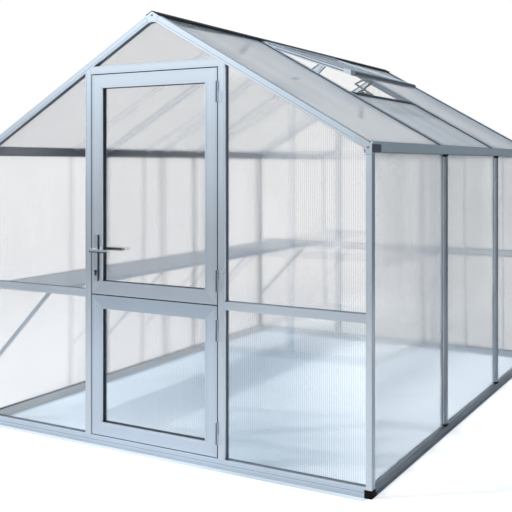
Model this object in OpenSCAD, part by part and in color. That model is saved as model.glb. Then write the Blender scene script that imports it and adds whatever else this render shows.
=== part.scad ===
// Polycarbonate greenhouse on an aluminium frame: gable roof, split stable door in the front gable,
// one roof vent propped open and a staging shelf along the left wall.
// All sizes are in millimetres. +X is right when facing the door, -Y is the front, +Z is up.
// The origin lies on the ground, in the middle of the overall box, which the door lever reaches out of at the front.

/* [Building] */
// Width over the corner posts
frame_w = 2400; // [1900:50:3000]
// Length of one bay, from wall stud to wall stud
bay_l = 1080; // [800:20:1300]
// Number of bays along the building
bays = 3; // [3:1:6]
// Height of the roof line where it passes over the outer face of the side walls
eave_h = 1574; // [1400:10:2000]
// Height of the roof line at the ridge
ridge_h = 2261; // [2150:10:2800]

/* [Frame profiles] */
// Depth of the frame profiles, through the wall
bar_d = 37; // [32:1:50]
// Face width of the door posts and the rear mullions
post_w = 40; // [30:1:60]
// Face width of a corner post on the gable side
corner_w = 29; // [24:1:45]
// Face width of the gable rafters, square to the slope
rafter_w = 36; // [28:1:50]
// Face height of the middle rails in the gables
mid_rail_w = 40; // [28:1:60]
// Height of the middle of those rails
mid_rail_z = 796; // [600:4:1000]
// Face width of the side wall studs and the roof glazing bars
stud_w = 36; // [26:1:50]
// Depth of the roof glazing bars, square to the slope
roof_bar_d = 34; // [28:1:45]
// Height of the base sill
sill_h = 48; // [36:1:70]
// Height of a base corner block, which the corner post stands on
block_h = 38; // [25:1:45]
// Length of a base corner block along the side sill, at the ground
block_leg = 64; // [60:1:120]

/* [Glazing] */
// Thickness of the twin-wall panes
pane_t = 8; // [4:1:10]
// How far the panes of the walls and doors lie behind the outer face of the frame
pane_inset = 20; // [12:1:22]
// How far the panes of the roof lie below the top of the glazing bars
roof_pane_inset = 8; // [4:1:12]

/* [Eaves] */
// Width of the box rail that carries the foot of the roof
eave_rail_w = 24; // [18:1:30]
// Height of the gutter's face
gutter_h = 49; // [44:1:70]
// Height of the gutter's rim above the roof line
gutter_rim = 11; // [4:1:16]
// Wall thickness of the gutter
gutter_t = 4; // [2:0.5:5]
// Length of a gutter end cap
end_cap_l = 110; // [60:5:200]

/* [Door] */
// Width of the doorway between the posts
door_w = 794; // [650:2:1000]
// Height of the underside of the door header
door_head = 1960; // [1850:5:2050]
// Height of the split between the two leaves
door_split = 794; // [600:2:1100]
// Gap round each leaf
door_gap = 5.5; // [5:0.5:8]
// Face width of the stiles and rails of the leaves
leaf_bar = 70; // [50:1:90]
// Height of the header's face
header_w = 40; // [30:1:60]
// Opening angle of each leaf
door_swing = 160; // [90:5:165]

/* [Door furniture] */
// Length of one hinge
hinge_l = 105; // [70:5:140]
// Radius of the hinge barrel
hinge_r = 6; // [5:0.5:9]
// Distance from a leaf's end to the middle of its nearer hinge
hinge_end = 118; // [80:2:200]
// Height of the lever's spindle
lever_z = 1030; // [950:5:1150]
// Distance from the leaf's edge to the spindle
backset = 32; // [24:1:40]
// Length of the lever from spindle to tip
lever_l = 115; // [90:5:150]
// Distance from the leaf's face to the middle of the lever
lever_out = 50; // [40:1:60]
// Width of the lock plates
plate_w = 24; // [22:1:32]
// Thickness of the lock plates
plate_t = 9; // [6:1:12]
// Reach of the lock plates above the spindle
plate_top = 84; // [60:1:110]
// Reach of the lock plates below the spindle
plate_foot = 167; // [130:1:200]

/* [Roof vent] */
// Length of the vent down the slope
vent_l = 650; // [500:2:900]
// Angle at which the vent stands open above the roof
vent_open = 10; // [4:0.5:20]
// Thickness of the vent's frame
vent_t = 28; // [20:1:32]
// Height of the vent's lower rail, which has a half-round nose
vent_rail_h = 30; // [26:1:44]
// Distance down the slope to the stay that steadies the open vent
stay_down = 474; // [200:2:600]

/* [Shelf] */
// Depth of the shelf from the wall
shelf_d = 460; // [300:10:600]
// Height of the top of the shelf
shelf_z = 797; // [700:1:900]
// Height of the shelf's edge rails
shelf_rail_h = 21; // [16:1:40]
// Width of the shelf's struts
strut_w = 20; // [14:1:30]
// Height of the foot of the struts
strut_foot_z = 310; // [200:10:450]

/* [Hidden] */
$fn = 48;

aluminium = "LightSteelBlue";
clear_sheet = [0.9, 0.93, 0.95, 0.4];
black_plastic = [0.1, 0.1, 0.11];

// Overall places
lever_r = 7;
lever_reach = lever_out + lever_r;
frame_l = bays * bay_l;
half_w = frame_w / 2;
front_y = (lever_reach - frame_l) / 2;
rear_y = front_y + frame_l;
inner_front_y = front_y + bar_d;
inner_rear_y = rear_y - bar_d;
inner_x = half_w - bar_d;
stud_ys = [for (i = [1 : bays - 1]) front_y + i * bay_l];

// Roof: the roof line is the top of the rafters, and "down" and "below" are measured along and square to it
pitch = atan((ridge_h - eave_h) / half_w);
function roof_z(x, below = 0) = ridge_h - abs(x) * tan(pitch) - below / cos(pitch);
function slope_point(down, below) = [
  down * cos(pitch) - below * sin(pitch),
  ridge_h - down * sin(pitch) - below * cos(pitch)
];
// Hairline left where a sloping face seats on another piece
seat = 0.03;
pane_top = roof_pane_inset;
pane_under = roof_pane_inset + pane_t;

// Profiles
groove_w = 2.5;
groove_t = 1.5;
groove_edge = 5;
slot_w = 10;
slot_t = 3;
cap_h = 12;

// Eaves
gutter_top = eave_h + gutter_rim;
wall_top = gutter_top - gutter_h;
rail_out_x = half_w - corner_w;
rail_in_x = rail_out_x - eave_rail_w;
lip_w = 8;
lip_h = 6;
gutter_band = 12;
gutter_recess = 2;
gusset_t = 6;
post_top = wall_top - 10;
roof_overhang = 14;
roof_foot = (rail_out_x + roof_overhang) / cos(pitch);
bar_foot = (rail_in_x - seat + pane_under * sin(pitch)) / cos(pitch);
gusset_reach = 20;
rafter_foot = (rail_in_x - gusset_reach) / cos(pitch);

// Ridge
beam_half = 14;
beam_down = (beam_half + roof_bar_d * sin(pitch)) / cos(pitch);
apex_joint = beam_down + 12;
apex_fillet = 75;
eave_fillet = 38;
cap_t = 4;
cap_w = beam_down + 5;
cap_bead = 2;
cap_bead_w = 7;

// Gables
door_half = door_w / 2;
post_out = door_half + post_w;
corner_in = half_w - corner_w;
mid_low = mid_rail_z - mid_rail_w / 2;
mid_high = mid_rail_z + mid_rail_w / 2;
header_top = door_head + header_w;

// Door leaves
leaf_half = door_half - door_gap;
leaf_groove = 8;
lower_low = sill_h + door_gap;
lower_high = door_split - door_gap / 2;
upper_low = door_split + door_gap / 2;
upper_high = door_head - door_gap;
hinge_x = door_half - door_gap / 2;
hinge_y = front_y - hinge_r;
lever_x = backset - leaf_half;
hinge_tab = 22;
hinge_tab_t = 3;
pin_r = 3;
pin_gap = 0.08;
seat_gap = 0.3;
spindle_r = 4;
spindle_hole_r = 9.5;
cylinder_r = 8.5;
cylinder_drop = 112;

// Vent: it lies between two glazing bars, hinged at the foot of the ridge cap
vent_gap = 2;
vent_y0 = stud_ys[0] + stud_w / 2 + vent_gap;
vent_y1 = stud_ys[1] - stud_w / 2 - vent_gap;
vent_bar = 26;
vent_rise = 3;
vent_low = vent_rise - vent_t;
vent_rail_w = vent_rail_h + 2;
vent_rail_low = vent_low + (vent_t - vent_rail_h) / 2;
vent_hinge_r = 5;
vent_hinge_down = cap_w + vent_hinge_r + 1;
sill_rail_w = 30;
sill_rail_down = vent_hinge_down + vent_l + 1;
sill_rail_top = 4;
sill_rail_lift = 6;

// Vent opener, which stands in one plane square to the ridge
link_w = 11;
link_t = 3;
link_pitch = link_t + 1;
link_pin_r = 3;
opener_y = vent_y0 + (vent_y1 - vent_y0) * 0.3;

// Shelf
shelf_out_x = inner_x - shelf_d;
shelf_rail_t = 16;
shelf_drop = 2;
shelf_side_gap = 1;

// Places its children on the right slope: x runs down the slope, z stands square to it, and y stays
module on_right_slope() {
  translate([0, 0, ridge_h]) rotate([0, pitch, 0]) children();
}

// Draws its children and their mirror image on the left
module both_sides() {
  children();
  mirror([1, 0, 0]) children();
}

// A box from one corner to the other
module box(low, high) {
  translate(low) cube(high - low);
}

// The space under the gable rafters, from y0 to y1
module under_rafters(y0, y1) {
  foot = half_w * 1.2;
  below = rafter_w + seat;
  translate([0, y1, 0]) rotate([90, 0, 0]) linear_extrude(y1 - y0)
    polygon([
      [-foot, 0], [foot, 0], [foot, roof_z(foot, below)],
      [0, roof_z(0, below)], [-foot, roof_z(foot, below)]
    ]);
}

// Turns its children, drawn for the front gable, to the rear gable, to face backwards
module at_rear() {
  translate([0, front_y + rear_y, 0]) mirror([0, 1, 0]) children();
}

// Copies its children, drawn for the front gable, to both gables
module at_both_gables() {
  children();
  at_rear() children();
}

// A frame bar's section: x is depth from the outer face, which has a shallow groove along each edge, y is width
module bar_section(w) {
  difference() {
    square([bar_d, w]);
    for (y = [groove_edge, w - groove_edge - groove_w]) translate([-1, y]) square([groove_t + 1, groove_w]);
  }
}

// A gable bar along X, and one that stands upright, each between two x and two z
module gable_rail(x0, x1, z0, z1) {
  translate([x0, front_y, z0]) rotate([90, 0, 90]) linear_extrude(x1 - x0) bar_section(z1 - z0);
}

module gable_post(x0, x1, z0, z1) {
  translate([x0, front_y, z0]) linear_extrude(z1 - z0) rotate(90) mirror([0, 1]) bar_section(x1 - x0);
}

// A glazing bar's section, d deep and with a screw slot along the middle of its outer face
module stud_section(d) {
  difference() {
    square([d, stud_w]);
    translate([-1, (stud_w - slot_w) / 2]) square([slot_t + 1, slot_w]);
  }
}

// A sill's section: a stepped face with drip grooves outside, x is depth and y is height
module sill_section() {
  groove = 3;
  pitch_z = (sill_h - groove) / 3;
  difference() {
    square([bar_d, sill_h]);
    for (i = [1 : 3]) translate([-1, i * pitch_z]) square([groove + 1, i == 3 ? groove + 1 : groove]);
  }
}

module gable_sills() {
  color(aluminium) at_both_gables() difference() {
    translate([-corner_in, front_y, 0]) rotate([90, 0, 90]) linear_extrude(2 * corner_in) sill_section();
    both_sides() box([inner_x, front_y - 1, -1], [half_w, inner_front_y + 1, block_h]);
  }
}

// The side face of the front base corner block, with a slanted end, between two x and from z0 up
module block_side(x0, x1, z0) {
  slant = 0.7;
  translate([x0, 0, 0]) rotate([90, 0, 90]) linear_extrude(x1 - x0)
    polygon([
      [front_y, z0], [front_y + block_leg - slant * z0, z0],
      [front_y + block_leg - slant * block_h, block_h], [front_y, block_h]
    ]);
}

module side_sills() {
  color(aluminium) both_sides() difference() {
    translate([half_w, inner_rear_y, 0]) rotate([90, 0, 0]) mirror([1, 0, 0])
      linear_extrude(frame_l - 2 * bar_d) sill_section();
    at_both_gables() block_side(inner_x - 1, half_w + 1, -1);
  }
}

module base_corner_blocks() {
  round_r = 8;
  color(black_plastic) at_both_gables() both_sides() intersection() {
    block_side(inner_x, half_w, 0);
    translate([0, 0, -1]) linear_extrude(block_h + 2) {
      translate([inner_x - 1, front_y - 1]) square([bar_d + 1 - round_r, block_leg + 2]);
      translate([inner_x - 1, front_y + round_r]) square([bar_d + 2, block_leg + 2]);
      translate([half_w - round_r, front_y + round_r]) circle(round_r);
    }
  }
}

module corner_posts() {
  color(aluminium) at_both_gables() both_sides() gable_post(corner_in, half_w, block_h, post_top);
}

module wall_studs() {
  low = sill_h + cap_h;
  color(aluminium) both_sides() for (y = stud_ys)
    translate([half_w, y - stud_w / 2, low]) mirror([1, 0, 0])
      linear_extrude(wall_top - cap_h - low) stud_section(bar_d);
}

// Plastic caps on the ends of the studs, with a lip round the part that stands outside the panes
module stud_caps() {
  proud = 2;
  half = stud_w / 2;
  color(black_plastic) both_sides() for (y = stud_ys) for (z = [sill_h, wall_top - cap_h]) {
    box([inner_x, y - half, z], [half_w + proud, y + half, z + cap_h]);
    box([half_w - pane_inset, y - half - proud, z], [half_w + proud, y + half + proud, z + cap_h]);
  }
}

module eave_rails() {
  color(aluminium) both_sides()
    translate([0, inner_rear_y, 0]) rotate([90, 0, 0]) linear_extrude(frame_l - 2 * bar_d)
      polygon([
        [rail_in_x, wall_top], [rail_out_x, wall_top],
        [rail_out_x, roof_z(rail_out_x, pane_under + seat)],
        [rail_in_x, roof_z(rail_in_x, pane_under + seat)]
      ]);
}

module gutters() {
  color(aluminium) both_sides()
    translate([0, rear_y - gusset_t, 0]) rotate([90, 0, 0]) linear_extrude(frame_l - 2 * gusset_t) {
      translate([rail_out_x, wall_top]) square([half_w - gutter_recess - rail_out_x, gutter_t]);
      translate([half_w - gutter_recess - gutter_t, wall_top]) square([gutter_t, gutter_h]);
      translate([half_w - lip_w, gutter_top - lip_h]) square([lip_w, lip_h]);
      translate([half_w - gutter_t, gutter_top - gutter_band]) square([gutter_t, gutter_band]);
    }
}

// A plastic cap let into the recessed face at each end of the gutters
module gutter_end_caps() {
  proud = 1;
  color(black_plastic) at_both_gables() both_sides()
    box(
      [half_w - gutter_recess, front_y + gusset_t, wall_top],
      [half_w + proud, front_y + end_cap_l, gutter_top - gutter_band]
    );
}

module gable_rafters() {
  color(aluminium) at_both_gables() both_sides() on_right_slope()
    translate([apex_joint + seat, front_y, -rafter_w]) rotate([90, 0, 90])
      linear_extrude(rafter_foot - apex_joint - 2 * seat) bar_section(rafter_w);
}

function arc(centre, r, from, to, steps = 8) =
  [for (i = [0 : steps]) let (a = from + (to - from) * i / steps) centre + r * [cos(a), sin(a)]];

// The casting at the peak: it joins the two rafters, with a rounded inner corner
module apex_gussets() {
  centre = [0, roof_z(0, rafter_w + apex_fillet)];
  color(aluminium) at_both_gables()
    translate([0, inner_front_y, 0]) rotate([90, 0, 0]) linear_extrude(bar_d)
      polygon(concat(
        [[0, ridge_h], slope_point(apex_joint, 0), slope_point(apex_joint, rafter_w)],
        arc(centre, apex_fillet, 90 - pitch, 90 + pitch),
        [
          [-slope_point(apex_joint, rafter_w)[0], slope_point(apex_joint, rafter_w)[1]],
          [-slope_point(apex_joint, 0)[0], slope_point(apex_joint, 0)[1]]
        ]
      ));
}

// The casting at the eave: it joins post and rafter, with the gutter let in behind its face
module eave_gussets() {
  half_angle = (90 + pitch) / 2;
  corner = [corner_in, roof_z(corner_in, rafter_w)];
  centre = corner + eave_fillet / sin(half_angle) * [-cos(90 - half_angle), -sin(90 - half_angle)];
  color(aluminium) at_both_gables() both_sides() difference() {
    translate([0, inner_front_y, 0]) rotate([90, 0, 0]) linear_extrude(bar_d)
      polygon(concat(
        [slope_point(rafter_foot, 0), [half_w, eave_h], [half_w, post_top], [corner_in, post_top]],
        arc(centre, eave_fillet, 0, 90 - pitch),
        [slope_point(rafter_foot, rafter_w)]
      ));
    box([rail_out_x, front_y + gusset_t, wall_top], [half_w + 1, inner_front_y + 1, gutter_top]);
  }
}

module door_posts() {
  color(aluminium) both_sides() intersection() {
    gable_post(door_half, post_out, sill_h, ridge_h);
    under_rafters(front_y - 1, inner_front_y + 1);
  }
}

module door_header() {
  color(aluminium) intersection() {
    gable_rail(-door_half, door_half, door_head, header_top);
    under_rafters(front_y - 1, inner_front_y + 1);
  }
}

module front_mid_rails() {
  color(aluminium) both_sides() gable_rail(post_out, corner_in, mid_low, mid_high);
}

module rear_mullions() {
  color(aluminium) at_rear() both_sides() intersection() {
    gable_post(door_half, post_out, sill_h, ridge_h);
    under_rafters(front_y - 1, inner_front_y + 1);
  }
}

// Middle rails in the three fields, and ties at gutter height in the two outer ones
module rear_cross_rails() {
  color(aluminium) at_rear() {
    both_sides() gable_rail(post_out, corner_in, mid_low, mid_high);
    gable_rail(-door_half, door_half, mid_low, mid_high);
    both_sides() difference() {
      intersection() {
        gable_rail(post_out, rail_out_x, wall_top, gutter_top);
        under_rafters(front_y - 1, inner_front_y + 1);
      }
      eave_gussets();
    }
  }
}

// The ridge extrusion: its flanks stand square to the slopes, and the bars and panes butt against them
module ridge_beam() {
  top = slope_point(beam_down - seat, seat);
  foot = slope_point(beam_down - seat, roof_bar_d);
  color(aluminium) translate([0, inner_rear_y, 0]) rotate([90, 0, 0])
    linear_extrude(inner_rear_y - inner_front_y)
      polygon([[0, ridge_h - seat], top, foot, [-foot[0], foot[1]], [-top[0], top[1]]]);
}

// The folded cap, with a bead along the foot of each flank
module ridge_cap() {
  color("SlateGray") both_sides() translate([0, rear_y, 0]) rotate([90, 0, 0]) linear_extrude(frame_l)
    polygon([
      [0, ridge_h], slope_point(cap_w, 0), slope_point(cap_w, -cap_t - cap_bead),
      slope_point(cap_w - cap_bead_w, -cap_t - cap_bead), slope_point(cap_w - cap_bead_w, -cap_t),
      [0, roof_z(0, -cap_t)]
    ]);
}

module roof_bars() {
  color(aluminium) both_sides() on_right_slope() for (y = stud_ys) {
    translate([beam_down, y - stud_w / 2, 0]) rotate([90, 90, 90])
      linear_extrude(roof_foot - beam_down) stud_section(pane_under);
    box([beam_down, y - stud_w / 2, -roof_bar_d], [bar_foot, y + stud_w / 2, -pane_under]);
  }
}

// Places its children on the open vent: x runs down the vent from its hinge, z stands square to it
module on_vent() {
  on_right_slope() translate([vent_hinge_down, 0, 0]) rotate([0, -vent_open, 0]) children();
}

// Height above the roof line, at a distance down the slope, of the line that lies z above the hinge on the open vent
function vent_line(down, z) = (down - vent_hinge_down) * tan(vent_open) + z / cos(vent_open);

module vent_frame() {
  nose_r = vent_rail_h / 2;
  hinge_t = 3;
  slot_z = vent_low + (vent_t - slot_t) / 2;
  color(aluminium) {
    on_right_slope() {
      box([beam_down, vent_y0, -hinge_t], [vent_hinge_down, vent_y1, 0]);
      translate([vent_hinge_down, vent_y0, 0]) rotate([-90, 0, 0])
        cylinder(r = vent_hinge_r, h = vent_y1 - vent_y0);
    }
    on_vent() {
      difference() {
        box([0, vent_y0, vent_low], [vent_l - nose_r, vent_y1, vent_rise]);
        box([vent_bar, vent_y0 + vent_bar, vent_low - 1], [vent_l, vent_y1 - vent_bar, vent_rise + 1]);
        for (y = [vent_y0 - 1, vent_y1 - groove_t])
          box([vent_bar, y, slot_z], [vent_l, y + groove_t + 1, slot_z + slot_t]);
      }
      translate([0, vent_y1 + 1, vent_rail_low]) rotate([90, 0, 0]) linear_extrude(vent_y1 - vent_y0 + 2) {
        translate([vent_l - vent_rail_w, 0]) square([vent_rail_w - nose_r, vent_rail_h]);
        translate([vent_l - nose_r, nose_r]) circle(nose_r);
      }
    }
  }
}

module vent_pane() {
  color(clear_sheet) on_vent()
    box(
      [vent_bar, vent_y0 + vent_bar, vent_low + (vent_t - pane_t) / 2],
      [vent_l - vent_rail_w, vent_y1 - vent_bar, vent_low + (vent_t + pane_t) / 2]
    );
}

module vent_sill_rail() {
  color(aluminium) on_right_slope()
    box(
      [sill_rail_down, stud_ys[0] + stud_w / 2, -roof_bar_d + sill_rail_lift],
      [sill_rail_down + sill_rail_w, stud_ys[1] - stud_w / 2, -sill_rail_top]
    );
}

// A flat link with round eyes along a path of [down the slope, above the roof line], its near face at y
module link(path, y) {
  eye_r = link_w / 2 + 0.5;
  translate([0, y + link_t, 0]) rotate([90, 0, 0]) linear_extrude(link_t) {
    for (p = path) translate(p) circle(eye_r);
    for (i = [1 : len(path) - 1]) let (reach = path[i] - path[i - 1])
      translate(path[i - 1]) rotate(atan2(reach[1], reach[0]))
        translate([0, -link_w / 2]) square([norm(reach), link_w]);
  }
}

// A flat plate from its outline, with its near face at y
module plate(outline, y) {
  translate([0, y + link_t, 0]) rotate([90, 0, 0]) linear_extrude(link_t) polygon(outline);
}

// A pin through the opener, from y0 to y1
module link_pin(p, y0, y1) {
  translate([p[0], y0, p[1]]) rotate([-90, 0, 0]) cylinder(r = link_pin_r, h = y1 - y0);
}

// The vent's opener: a pair of folded arms and a spring cylinder, between brackets on the sill rail and the vent
module vent_opener() {
  head = [sill_rail_down - 41, vent_line(sill_rail_down - 41, vent_rail_low - 13)];
  rod_end = head + [17, -4];
  knee = head + [-42, -17];
  elbow = head + [-72, -57];
  sill_pin = [sill_rail_down + 20, 4];
  foot = [sill_rail_down - 51, -19];
  near = opener_y - 1;
  arm_y = opener_y + link_pitch;
  body_r = 6;
  rod_r = 3;
  body_y = opener_y - body_r - 2;
  reach = rod_end - foot;
  rail_edge = [head[0] + 19, head[0] + 5];
  rail_z = vent_rail_low - seat;
  color("Gray") on_right_slope() {
    plate([
      head + [-8, -7], rod_end + [8, -7],
      [rail_edge[0], vent_line(rail_edge[0], rail_z)], [rail_edge[1], vent_line(rail_edge[1], rail_z)],
      head + [-8, 6]
    ], opener_y);
    plate([
      foot + [-8, -7], [sill_rail_down - seat, foot[1] - 7], [sill_rail_down - seat, seat - sill_rail_top],
      sill_pin + [7, seat - sill_rail_top - sill_pin[1]], sill_pin + [7, 6], sill_pin + [-7, 6],
      [sill_rail_down - 6, 4], foot + [-8, 7]
    ], opener_y);
    link([head, knee, elbow], arm_y);
    link([elbow, sill_pin], arm_y + link_pitch);
    link_pin(head, near, arm_y + link_pitch);
    link_pin(elbow, arm_y - 1, arm_y + 2 * link_pitch);
    link_pin(sill_pin, near, arm_y + 2 * link_pitch);
    for (p = [foot, rod_end]) link_pin(p, body_y - body_r - 1, opener_y + link_pitch);
    translate([foot[0], body_y, foot[1]]) rotate([0, atan2(reach[0], reach[1]), 0]) {
      translate([0, 0, -body_r]) cylinder(r = body_r, h = norm(reach) * 0.7);
      cylinder(r = rod_r, h = norm(reach) + rod_r + 2);
    }
  }
}

// The stay that steadies the open vent: it stands on the flank of the front glazing bar, leaning down the slope
module vent_stay() {
  stay_w = 22;
  stay_t = 14;
  lean = 0.35;
  low = -roof_bar_d / 2;
  near = stud_ys[0] + stud_w / 2;
  top = [for (x = [stay_down, stay_down + stay_w]) [x, vent_line(x, vent_low) - seat]];
  color(aluminium) on_right_slope() translate([0, near + stay_t, 0]) rotate([90, 0, 0]) linear_extrude(stay_t)
    polygon([
      top[0], top[1],
      [top[1][0] - lean * (top[1][1] - low), low], [top[0][0] - lean * (top[0][1] - low), low]
    ]);
}

// One pane of a gable between two x and two z, cut to the slope of the roof
module gable_pane(x0, x1, z0, z1, y0) {
  intersection() {
    box([x0, y0, z0], [x1, y0 + pane_t, z1]);
    under_rafters(y0 - 1, y0 + pane_t + 1);
  }
}

module front_panes() {
  y = front_y + pane_inset;
  color(clear_sheet) {
    both_sides() gable_pane(post_out, corner_in, sill_h, mid_low, y);
    difference() {
      union() {
        both_sides() gable_pane(post_out, corner_in, mid_high, ridge_h, y);
        gable_pane(-door_half, door_half, header_top, ridge_h, y);
      }
      eave_gussets();
      apex_gussets();
    }
  }
}

module rear_panes() {
  y = rear_y - pane_inset - pane_t;
  color(clear_sheet) {
    both_sides() gable_pane(post_out, corner_in, sill_h, mid_low, y);
    gable_pane(-door_half, door_half, sill_h, mid_low, y);
    difference() {
      union() {
        both_sides() gable_pane(post_out, corner_in, mid_high, wall_top, y);
        both_sides() gable_pane(post_out, corner_in, gutter_top, ridge_h, y);
        gable_pane(-door_half, door_half, mid_high, ridge_h, y);
      }
      eave_gussets();
      apex_gussets();
    }
  }
}

// The edges between which each bay's panes lie
function bay_start(i) = i == 0 ? inner_front_y : stud_ys[i - 1] + stud_w / 2;
function bay_end(i) = i == bays - 1 ? inner_rear_y : stud_ys[i] - stud_w / 2;

module side_wall_panes() {
  x = half_w - pane_inset - pane_t;
  color(clear_sheet) for (i = [0 : bays - 1])
    box([x, bay_start(i), sill_h], [x + pane_t, bay_end(i), wall_top]);
}

module right_wall_panes() {
  side_wall_panes();
}

module left_wall_panes() {
  mirror([1, 0, 0]) side_wall_panes();
}

module roof_pane(i, down) {
  color(clear_sheet) on_right_slope()
    box([down, bay_start(i), -pane_under], [roof_foot, bay_end(i), -pane_top]);
}

module right_roof_panes() {
  for (i = [0 : bays - 1]) roof_pane(i, i == 1 ? sill_rail_down + sill_rail_w : beam_down);
}

module left_roof_panes() {
  mirror([1, 0, 0]) for (i = [0 : bays - 1]) roof_pane(i, beam_down);
}

module shelf_panel() {
  color(aluminium) mirror([1, 0, 0])
    box(
      [shelf_out_x + shelf_rail_t, inner_front_y, shelf_z - shelf_rail_h / 2],
      [inner_x - shelf_rail_t, inner_rear_y, shelf_z - shelf_drop]
    );
}

module shelf_rails() {
  color(aluminium) mirror([1, 0, 0]) for (x = [shelf_out_x, inner_x - shelf_rail_t])
    box([x, inner_front_y, shelf_z - shelf_rail_h], [x + shelf_rail_t, inner_rear_y, shelf_z]);
}

// One strut in the plane of y, from the wall at wall_x up to the underside at top_z
module shelf_strut(wall_x, top_z, y0, y1) {
  cut = strut_w / cos(45);
  rise = top_z - strut_foot_z - cut;
  translate([0, y1, 0]) rotate([90, 0, 0]) linear_extrude(y1 - y0)
    polygon([
      [wall_x, strut_foot_z], [wall_x, strut_foot_z + cut],
      [wall_x - rise, top_z], [wall_x - rise - cut, top_z]
    ]);
}

module shelf_struts() {
  strut_t = 7;
  top = shelf_z - shelf_rail_h;
  color(aluminium) mirror([1, 0, 0]) {
    back = inner_front_y - shelf_side_gap;
    at_both_gables() shelf_strut(corner_in, mid_low, back - strut_t, back);
    for (y = stud_ys) shelf_strut(inner_x, top, y - strut_t / 2, y + strut_t / 2);
  }
}

// Heights of the middles of the hinges of one leaf
function hinge_zs(low, high) = [low + hinge_end, high - hinge_end];

// The post's half of one hinge: lower knuckle, tab on the post's face, and the pin
module hinge_pin(z) {
  half = hinge_l / 2;
  translate([hinge_x, hinge_y, z - half]) {
    cylinder(r = hinge_r, h = half);
    cylinder(r = pin_r, h = hinge_l - 5);
    box([0, hinge_r - hinge_tab_t, 0], [hinge_tab, hinge_r, half]);
  }
}

module hinge_pins() {
  color(aluminium) for (z = concat(hinge_zs(lower_low, lower_high), hinge_zs(upper_low, upper_high)))
    hinge_pin(z);
}

// The leaf's half of one hinge: upper knuckle, bored for the pin, and its tab on the stile's face
module hinge_knuckle(z) {
  half = hinge_l / 2;
  translate([hinge_x, hinge_y, z + seat_gap]) difference() {
    union() {
      cylinder(r = hinge_r, h = half);
      box([-hinge_tab, hinge_r - hinge_tab_t, 0], [0, hinge_r, half]);
    }
    translate([0, 0, -1]) cylinder(r = pin_r + pin_gap, h = half);
  }
}

module upper_hinge_knuckles() {
  color(aluminium) for (z = hinge_zs(upper_low, upper_high)) hinge_knuckle(z);
}

module lower_hinge_knuckles() {
  color(aluminium) for (z = hinge_zs(lower_low, lower_high)) hinge_knuckle(z);
}

// One bar of a leaf's frame, mitred at both ends, with its outer edge on the x axis and two grooves in its face
module mitred_bar(length) {
  difference() {
    translate([0, bar_d, 0]) rotate([90, 0, 0]) linear_extrude(bar_d)
      polygon([[0, 0], [length, 0], [length - leaf_bar, leaf_bar], [leaf_bar, leaf_bar]]);
    for (z = [leaf_groove, leaf_bar - leaf_groove - groove_w])
      box([-1, -1, z], [length + 1, groove_t, z + groove_w]);
  }
}

module leaf_rails(low, high) {
  color(aluminium) translate([-leaf_half, front_y, 0]) {
    translate([0, 0, low]) mitred_bar(2 * leaf_half);
    translate([0, 0, high]) mirror([0, 0, 1]) mitred_bar(2 * leaf_half);
  }
}

module leaf_stiles(low, high) {
  color(aluminium) both_sides()
    translate([leaf_half, front_y, low]) rotate([0, -90, 0]) mitred_bar(high - low);
}

module leaf_pane(low, high) {
  half = leaf_half - leaf_bar;
  y = front_y + pane_inset;
  color(clear_sheet) box([-half, y, low + leaf_bar], [half, y + pane_t, high - leaf_bar]);
}

module upper_leaf_stiles() {
  difference() {
    leaf_stiles(upper_low, upper_high);
    translate([lever_x, front_y - 1, lever_z]) rotate([-90, 0, 0])
      cylinder(r = spindle_hole_r, h = bar_d + 2);
  }
}

module upper_leaf_rails() {
  leaf_rails(upper_low, upper_high);
}

module upper_leaf_pane() {
  leaf_pane(upper_low, upper_high);
}

module lower_leaf_stiles() {
  leaf_stiles(lower_low, lower_high);
}

module lower_leaf_rails() {
  leaf_rails(lower_low, lower_high);
}

module lower_leaf_pane() {
  leaf_pane(lower_low, lower_high);
}

// Copies its children, drawn on the outer face of the leaf, to its inner face
module both_faces() {
  children();
  translate([0, 2 * front_y + bar_d, 0]) mirror([0, 1, 0]) children();
}

// A long plate with round ends on each face of the leaf, with the lock cylinder standing a little proud
module lock_plates() {
  end_r = plate_w / 2;
  color("Silver") both_faces() translate([lever_x, front_y, lever_z]) rotate([90, 0, 0]) difference() {
    union() {
      linear_extrude(plate_t) {
        translate([-end_r, end_r - plate_foot]) square([plate_w, plate_foot + plate_top - plate_w]);
        translate([0, end_r - plate_foot]) circle(end_r);
        translate([0, plate_top - end_r]) circle(end_r);
      }
      translate([0, -cylinder_drop, 0]) cylinder(r = cylinder_r, h = plate_t + 3);
    }
    translate([0, 0, -1]) cylinder(r = spindle_hole_r, h = plate_t + 2);
  }
}

// The levers on one spindle: a short heel behind the hub, a bar that widens to the tip, and a return at the tip
module lever_handle() {
  hub_r = 9;
  heel_r = 5;
  tip_r = 8;
  return_l = 14;
  neck = plate_t + seat_gap;
  color("Silver") {
    both_faces() translate([lever_x, front_y, lever_z]) rotate([90, 0, 0]) {
      translate([0, 0, neck]) cylinder(r = hub_r, h = lever_out - neck);
      translate([0, 0, lever_out - lever_r]) hull() {
        translate([-hub_r, 0, 2]) cylinder(r = heel_r, h = 2 * lever_r - 4);
        cylinder(r = hub_r - 1, h = 2 * lever_r);
        translate([lever_l - tip_r, 0, 2]) cylinder(r = tip_r, h = 2 * lever_r - 4);
      }
      translate([lever_l - tip_r, 0, lever_out - lever_r - return_l])
        cylinder(r = tip_r - 1, h = return_l + lever_r);
    }
    translate([lever_x, front_y - neck - 1, lever_z]) rotate([-90, 0, 0])
      cylinder(r = spindle_r, h = bar_d + 2 * (neck + 1));
  }
}

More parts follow.
